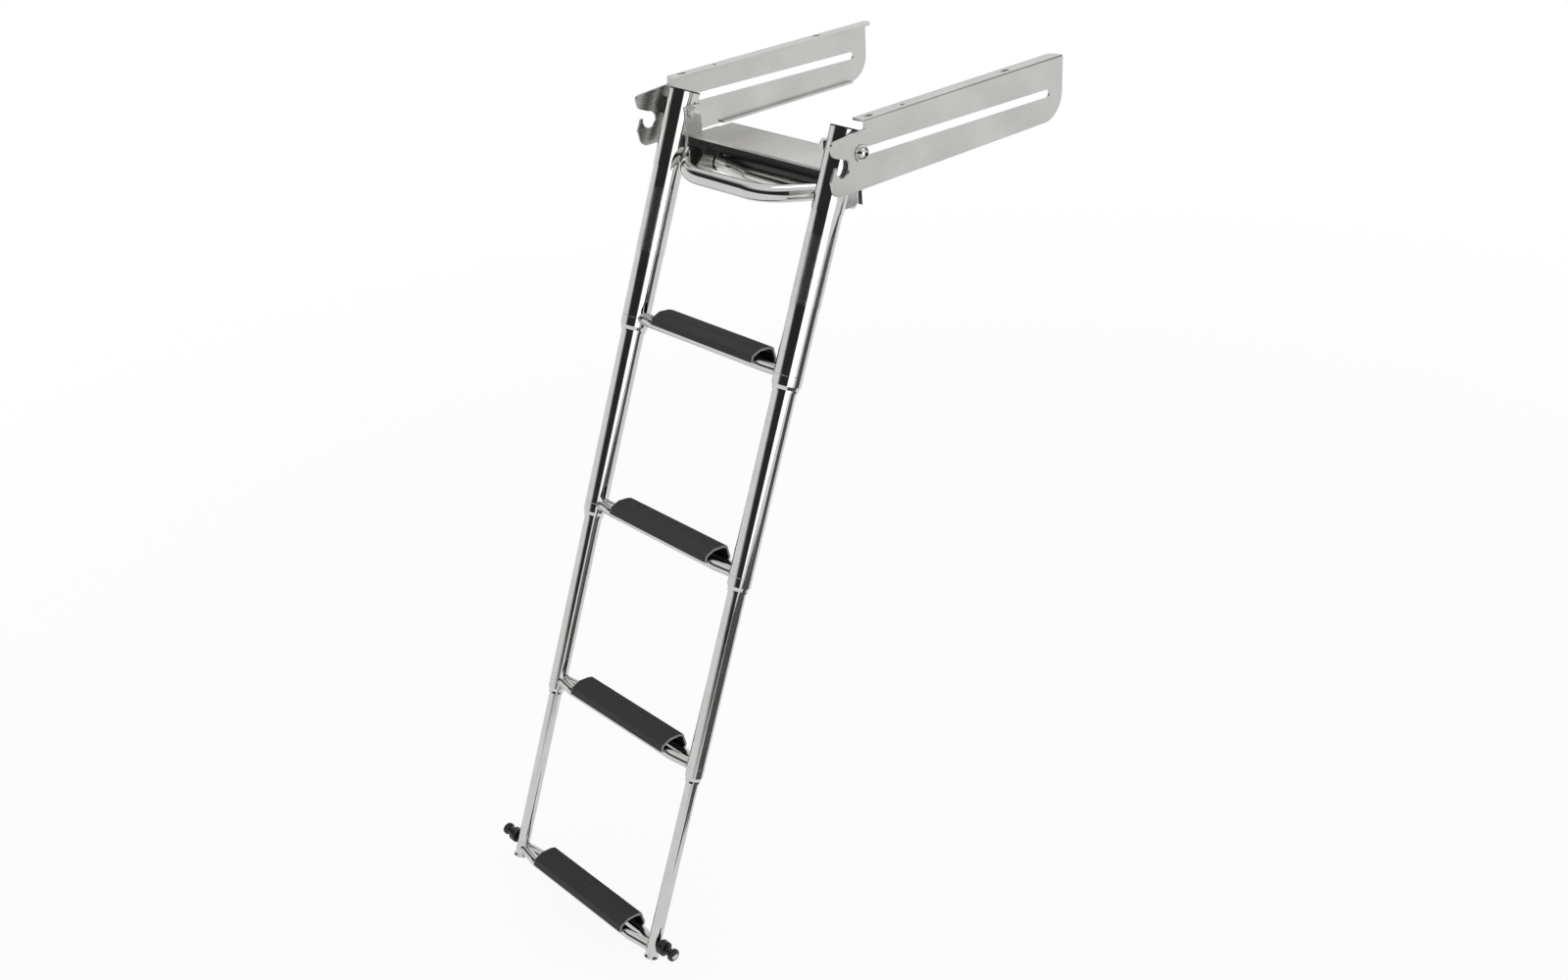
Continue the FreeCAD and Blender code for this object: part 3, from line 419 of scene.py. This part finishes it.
def weld_line(radius, root, heading, other=None):
    """Runs of (inboard, across, up) points where a rung bar meets its stile, from the stile's axis."""
    side_step = Vector((-heading.y, heading.x))
    runs, run = [], []
    for step in range(WELD_STEPS + 1):
        angle = math.tau * step / WELD_STEPS
        base = Vector((0.0, root)) + side_step * RUNG_RADIUS * math.cos(angle)
        along = base.dot(heading)
        room = along ** 2 - base.dot(base) + radius ** 2
        place = base + heading * (math.sqrt(room) - along) if room > 0 else None
        if place and other:
            other_root, other_heading = other
            off = place - Vector((0.0, other_root))
            gap = math.hypot(off.x * other_heading.y - off.y * other_heading.x, RUNG_RADIUS * math.sin(angle))
            if gap < RUNG_RADIUS:
                place = None
        if place:
            run.append(Vector((place.x, place.y, RUNG_RADIUS * math.sin(angle))))
        elif run:
            runs.append(run)
            run = []
    if run:
        runs.append(run)
    if len(runs) > 1 and (runs[0][0] - runs[-1][-1]).length < NEARLY_NOTHING:
        runs[0] = runs.pop() + runs[0][1:]
    return [run for run in runs if len(run) > SHORTEST_WELD]


def bead_reaches(run):
    """Half thicknesses along a weld: rippled, and thinner towards the ends of an open run."""
    closed = (run[0] - run[-1]).length < NEARLY_NOTHING
    last = len(run) - 1
    reaches = []
    for place in range(len(run)):
        ripple = 1 + RIPPLE_HEIGHT * math.sin(math.tau * BEAD_RIPPLES * place / len(run))
        taper = 1.0 if closed else min(1.0, BEAD_END + BEAD_END_STEP * min(place, last - place))
        reaches.append(BEAD_RADIUS * ripple * taper)
    return reaches


def weld_beads(section, index, material):
    """Small rippled beads of weld round the roots of a section's rung bars, buffed bright."""
    body, radius = SECTIONS[section]
    drop = FIRST_RUNG + RUNG_PITCH * index
    points, faces = [], []
    for sign in (1, -1):
        for which, (root, heading) in RUNG_ROOTS.items():
            for run in weld_line(radius, root, heading, RUNG_ROOTS["front"] if which == "rear" else None):
                outwards = [Vector((spot.x, spot.y, 0.0)).normalized() for spot in run]
                spots, made = sweep(run, bead_reaches(run), outwards, BEAD_SIDES)
                first = len(points)
                points += [on_ladder(sign * (HALF_STILES + spot.x), spot.y, drop - spot.z) for spot in spots]
                for face in made:
                    moved = tuple(first + corner for corner in face)
                    faces.append(moved[::-1] if sign > 0 else moved)
    add_piece("weld_beads_" + section, body, points, faces, [material])


def thick_back_bar(material):
    """Thick tube behind the hand loop, bowed as the node that it stands for, with welds at its ends."""
    centre = Vector((BAR_FLAT_HALF, BAR_NEAR + BAR_BEND, 0.0))
    half = [Vector((0.0, BAR_NEAR, 0.0))]
    for step in range(BAR_BEND_STEPS + 1):
        turn = -math.pi / 2 + BAR_BEND_TURN * step / BAR_BEND_STEPS
        half.append(centre + Vector((math.cos(turn), math.sin(turn), 0.0)) * BAR_BEND)
    root = Vector((BAR_HALF, BAR_ROOT, 0.0))
    towards_root = (root - half[-1]).normalized()
    half += [root - towards_root * back for back, grow in BAR_WELD]
    grown = [BAR_RADIUS] * (len(half) - len(BAR_WELD)) + [BAR_RADIUS + grow for back, grow in BAR_WELD]
    line = [Vector((-spot.x, spot.y, spot.z)) for spot in half[:0:-1]] + half
    reaches = grown[:0:-1] + grown
    spots, faces = sweep(line, reaches, [Vector((0.0, 0.0, 1.0))] * len(line), ROUND_STEPS)
    low, high = MIDDLE_X - BAR_HALF, MIDDLE_X + BAR_HALF
    points = [Vector((min(max(MIDDLE_X + spot.x, low), high), PIVOT.y + spot.y,
                      PIVOT.z - BAR_DROP + spot.z)) for spot in spots]
    bar = add_piece("thick_back_bar", "top_section", points, faces, [material])
    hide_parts("back_bar")


def panel_lip(material):
    """Lower lip of the black panel: a short shelf, then down behind the bar to a small rolled edge. Its black
    moulding is painted shade for the dark inside under the plate.
    """
    back = PANEL_INBOARD - LIP_INBOARD
    profile = [(back, -LIP_TOP), (back, -LIP_TOP - LIP_THICKNESS), (0.0, -LIP_TOP - LIP_THICKNESS),
               (0.0, -LIP_BOTTOM), (0.6 * MM, -LIP_BOTTOM - 1.0 * MM),
               (1.8 * MM, -LIP_BOTTOM - 1.2 * MM), (2.6 * MM, -LIP_BOTTOM - 0.4 * MM),
               (LIP_THICKNESS + 0.4 * MM, -LIP_BOTTOM + 0.4 * MM), (LIP_THICKNESS, -LIP_TOP - 1.0 * MM),
               (LIP_THICKNESS - 1.0 * MM, -LIP_TOP)]
    half = BAR_HALF - LIP_END_GAP
    points = [Vector((MIDDLE_X + side * half, PIVOT.y + LIP_INBOARD + inboard, PIVOT.z + up))
              for side in (-1, 1) for inboard, up in profile]
    add_piece("panel_lip", "top_section", points, capped_faces(2, len(profile)), [material])


# The studio round the object

def photo_camera():
    """The photograph's camera, turned a little about its own line of sight."""
    data = bpy.data.cameras.new("photo_camera")
    data.lens = CAMERA_LENS
    data.clip_start = 0.05
    data.clip_end = 100.0
    camera = bpy.data.objects.new("photo_camera", data)
    bpy.context.scene.collection.objects.link(camera)
    back = direction(CAMERA_AZIMUTH, CAMERA_ELEVATION)
    right = Vector((0, 0, 1)).cross(back).normalized()
    up = back.cross(right)
    turned_right = right * math.cos(CAMERA_ROLL) + up * math.sin(CAMERA_ROLL)
    turned_up = up * math.cos(CAMERA_ROLL) - right * math.sin(CAMERA_ROLL)
    matrix = Matrix((turned_right, turned_up, back)).transposed().to_4x4()
    matrix.translation = CAMERA_TARGET + back * CAMERA_DISTANCE
    camera.matrix_world = matrix
    bpy.context.scene.camera = camera


def stage_piece(name, points, faces, material):
    """Piece of the studio, which isn't part of the object."""
    mesh = bpy.data.meshes.new(name)
    mesh.from_pydata(points, [], faces)
    mesh.materials.append(material)
    piece = bpy.data.objects.new(name, mesh)
    bpy.context.scene.collection.objects.link(piece)
    return piece


def seen_by_eye_or_mirror(tree):
    """1 for the camera's rays and for mirror rays, 0 for the rays that light rough surfaces."""
    path = add_node(tree, "LightPath")
    return add_node(tree, "Math", links={0: path.outputs["Is Camera Ray"], 1: path.outputs["Is Glossy Ray"]},
                    operation="MAXIMUM").outputs[0]


def pale_floor():
    """Round sheet of white paper that glows for the eye and in mirrors and still takes a faint shadow.

    It fades out towards its rim, so that no edge shows against the white room.
    """
    material, tree = new_material("white_paper")
    paper = add_node(tree, "BsdfDiffuse", {"Color": linear("#F6F6F6")})
    glow = add_node(tree, "Emission", {"Color": (1, 1, 1, 1), "Strength": 1.0})
    share = times(tree, seen_by_eye_or_mirror(tree), FLOOR_GLOW_SHARE)
    lit = add_node(tree, "MixShader", links={0: share, 1: paper.outputs[0], 2: glow.outputs[0]})
    place = add_node(tree, "TexCoord").outputs["Object"]
    distance = add_node(tree, "VectorMath", links={0: place}, operation="LENGTH").outputs["Value"]
    rim_fade = soft_edge(tree, distance, FLOOR_RADIUS * FLOOR_FADE_START, FLOOR_RADIUS)
    nothing = add_node(tree, "BsdfTransparent")
    close_material(tree, add_node(tree, "MixShader", links={0: rim_fade, 1: lit.outputs[0],
                                                            2: nothing.outputs[0]}))
    turns = [math.tau * step / FLOOR_SIDES for step in range(FLOOR_SIDES)]
    rim = [(FLOOR_RADIUS * math.cos(turn), FLOOR_RADIUS * math.sin(turn), FLOOR_HEIGHT) for turn in turns]
    stage_piece("floor", rim, [tuple(range(FLOOR_SIDES))], material)


def studio_world():
    """White room. Mirrors also see a black curtain at the camera's end and a dark doorway at the back.

    The hem of the curtain slants up to the left. That gives the tubes their long dark bands.
    """
    world = bpy.data.worlds.new("studio")
    world.use_nodes = True
    tree = world.node_tree
    tree.nodes.clear()
    bpy.context.scene.world = world
    outward = add_node(tree, "TexCoord").outputs["Generated"]

    def side_of(normal, low, high):
        """Eases from 0 to 1 across the plane through the middle of the room with this normal."""
        facing = add_node(tree, "VectorMath", {1: normal}, {0: outward}, operation="DOT_PRODUCT")
        return soft_edge(tree, facing.outputs["Value"], low, high)

    hem = direction(-15, 11).cross(direction(45, -6)).normalized()
    below_ceiling = side_of((0, 0, -1), -0.85, -0.6)
    curtain = times(tree, side_of(hem, -0.07, 0.06), side_of(level_direction(-5), -0.1, 0.3),
                    side_of(level_direction(-38), -0.08, 0.1), below_ceiling)
    doorway = times(tree, side_of(level_direction(235), -0.08, 0.1),
                    side_of(level_direction(105), -0.08, 0.1), side_of((0, 0, 1), -0.08, 0.05), below_ceiling)
    wall = times(tree, side_of(level_direction(CAMERA_AZIMUTH + 180), 0.1, 0.6),
                 side_of((0, 0, 1), 0.12, 0.4))
    room = blend(tree, wall, ROOM_WHITE, WALL_GREY)
    room = blend(tree, curtain, room, CURTAIN_BLACK)
    room = blend(tree, doorway, room, DOORWAY_DARK)
    path = add_node(tree, "LightPath")
    level = blend(tree, seen_by_eye_or_mirror(tree), LIGHT_ON_ROUGH, room)
    seen = blend(tree, path.outputs["Is Camera Ray"], level, 1.0)
    soft = add_node(tree, "Background", {"Color": (1, 1, 1, 1)}, {"Strength": seen})
    add_node(tree, "OutputWorld", links={"Surface": soft.outputs[0]})


def softbox(name, place, aim, size, glow):
    """Soft lamp of an even glow, where 1 is white."""
    data = bpy.data.lights.new(name, "AREA")
    data.shape = "RECTANGLE"
    data.size, data.size_y = size
    data.energy = glow * math.pi * size[0] * size[1]
    lamp = bpy.data.objects.new(name, data)
    lamp.location = place
    lamp.rotation_mode = "QUATERNION"
    lamp.rotation_quaternion = (Vector(aim) - Vector(place)).to_track_quat("-Z", "Y")
    lamp.visible_camera = False
    bpy.context.scene.collection.objects.link(lamp)


def grey_cards():
    """Two grey cards beside the ladder. Mirrors see them as the dark lines in the tubes' right sides."""
    material, tree = new_material("grey_card")
    close_material(tree, add_node(tree, "BsdfDiffuse", {"Color": linear("#6E6E6E")}))
    beside = on_ladder(HALF_STILES, 0.0, 0.0) + direction(CARD_AZIMUTH, -20) * CARD_AWAY
    reach = level_direction(CARD_AZIMUTH + 90) * CARD_HALF_WIDTH
    top, bottom = beside + DOWN * CARD_TOP, beside + DOWN * CARD_BOTTOM
    leaning = [top - reach, top + reach, bottom + reach, bottom - reach]
    foot = Vector((MIDDLE_X + HALF_STILES, -0.46, FLOOR_HEIGHT))
    foot += level_direction(LOW_CARD_AZIMUTH) * LOW_CARD_AWAY
    reach = level_direction(LOW_CARD_AZIMUTH + 90) * LOW_CARD_HALF_WIDTH
    top = foot + Vector((0.0, 0.0, LOW_CARD_HEIGHT))
    low = [foot - reach, foot + reach, top + reach, top - reach]
    for name, corners in (("leaning_card", leaning), ("low_card", low)):
        card = stage_piece(name, corners, [(0, 1, 2, 3)], material)
        card.visible_camera = card.visible_diffuse = card.visible_shadow = False


def studio():
    """Camera, floor, room, cards and lamps."""
    photo_camera()
    pale_floor()
    studio_world()
    grey_cards()
    right_lamp = RIGHT_LAMP_AIM + level_direction(RIGHT_LAMP_AZIMUTH) * RIGHT_LAMP_AWAY
    softbox("right", right_lamp, RIGHT_LAMP_AIM, (1.7, 2.0), 1.6)
    softbox("top", (-0.5, 0.4, 2.6), (MIDDLE_X, -0.3, -0.5), (1.4, 1.4), 1.2)
    bpy.context.scene.view_settings.view_transform = "Standard"


polished = polished_stainless("polished_stainless")
polished_upper = polished_stainless("polished_stainless_with_satin_band", (104, 190))
track_sheet = satin_stainless("brushed_track_sheet", "#C9C9C7", "#BDBCBA", (1000.0, 14.0, 1000.0), 0.27)
ear_sheet = satin_stainless("buffed_ear_sheet", "#D2D1CE", "#BDBCB9", (90.0, 90.0, 90.0), 0.24)
bracket_sheet = satin_stainless("brushed_bracket_sheet", "#D0CFCC", "#C1C0BD", (14.0, 1000.0, 1000.0), 0.3)
tread_moulding = moulded_black("tread_moulding", ("#141414", "#1C1C1C"), 0.5, 1400.0, "#8F8F8F")
cap_moulding = moulded_black("cap_moulding", ("#101010", "#171717"), 0.4, 900.0)
spacer_nylon = moulded_black("spacer_nylon", ("#1A1A1A", "#242424"), 0.45, 700.0)
knob_rubber = moulded_black("knob_rubber", ("#060606", "#0B0B0B"), 0.36, 1100.0)
# Black moulding inside the bolts' sockets: painted shade of the deep recess, with a little grime.
socket_black = moulded_black("socket_painted_shade_and_grime", ("#0C0C0C", "#1A1A1A"), 0.6, 900.0)

FINISHES = {
    "track_steel": track_sheet,
    "bracket_steel": bracket_sheet,
    "polished_steel": polished,
    "tread_plastic": tread_moulding,
    "cap_plastic": cap_moulding,
    "spacer_plastic": spacer_nylon,
    "knob_rubber": knob_rubber,
}
for subpart in frame["record"]["subparts"]:
    dress(subpart["node"], FINISHES[subpart["material_slot"]])
for side in ("right", "left"):
    dress("stile_a_" + side, polished_upper)
    dress("bracket_ear_" + side, ear_sheet)

for side, sign in (("right", 1), ("left", -1)):
    domed_bolt(side, sign, polished, socket_black)
for index, section in enumerate(SECTIONS):
    weld_beads(section, index, polished)
thick_back_bar(polished)
# The lip is dressed in black moulding as painted shade under the bracket plate.
panel_lip(cap_moulding)

studio()
